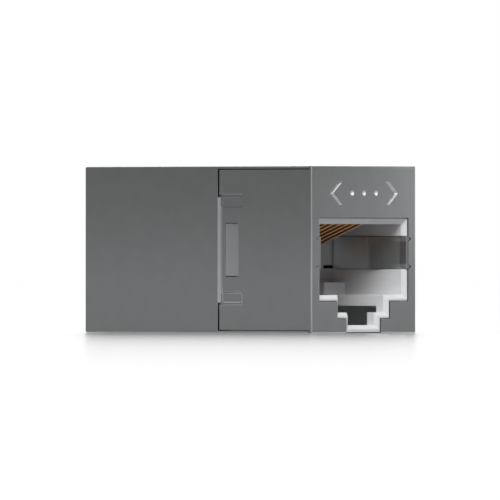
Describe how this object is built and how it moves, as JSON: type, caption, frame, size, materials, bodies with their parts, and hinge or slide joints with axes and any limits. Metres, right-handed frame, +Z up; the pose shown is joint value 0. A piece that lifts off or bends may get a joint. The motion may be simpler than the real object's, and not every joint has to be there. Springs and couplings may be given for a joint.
{
  "type": "ethernet inline coupler",
  "caption": "Box-shaped inline coupler with a modular plug port in each end, spring contacts, ground springs and a two-part snap-together metal shell.",
  "frame": {"origin": "middle of the floor, at the level that the coupler stands on", "axes": "+X from the rear port to the front port, +Z up, latch slots at the bottom"},
  "size_m": [0.0298, 0.0148, 0.0161],
  "materials": {
    "shell_metal": "satin",
    "frame_plastic": "semi-gloss",
    "carrier_plastic": "matte",
    "spring_metal": "satin",
    "contact_metal": "polished",
    "board_laminate": "satin"
  },
  "bodies": {
    "root": {"front_shell": "shell_metal", "rear_shell": "shell_metal", "circuit_board": "board_laminate", "front_jack_frame": "frame_plastic", "front_contact_carrier": "carrier_plastic", "front_left_ground_spring": "spring_metal", "front_right_ground_spring": "spring_metal", "front_contact_1": "contact_metal", "front_contact_2": "contact_metal", "front_contact_3": "contact_metal", "front_contact_4": "contact_metal", "front_contact_5": "contact_metal", "front_contact_6": "contact_metal", "front_contact_7": "contact_metal", "front_contact_8": "contact_metal", "rear_jack_frame": "frame_plastic", "rear_contact_carrier": "carrier_plastic", "rear_left_ground_spring": "spring_metal", "rear_right_ground_spring": "spring_metal", "rear_contact_1": "contact_metal", "rear_contact_2": "contact_metal", "rear_contact_3": "contact_metal", "rear_contact_4": "contact_metal", "rear_contact_5": "contact_metal", "rear_contact_6": "contact_metal", "rear_contact_7": "contact_metal", "rear_contact_8": "contact_metal"}
  },
  "joints": []
}
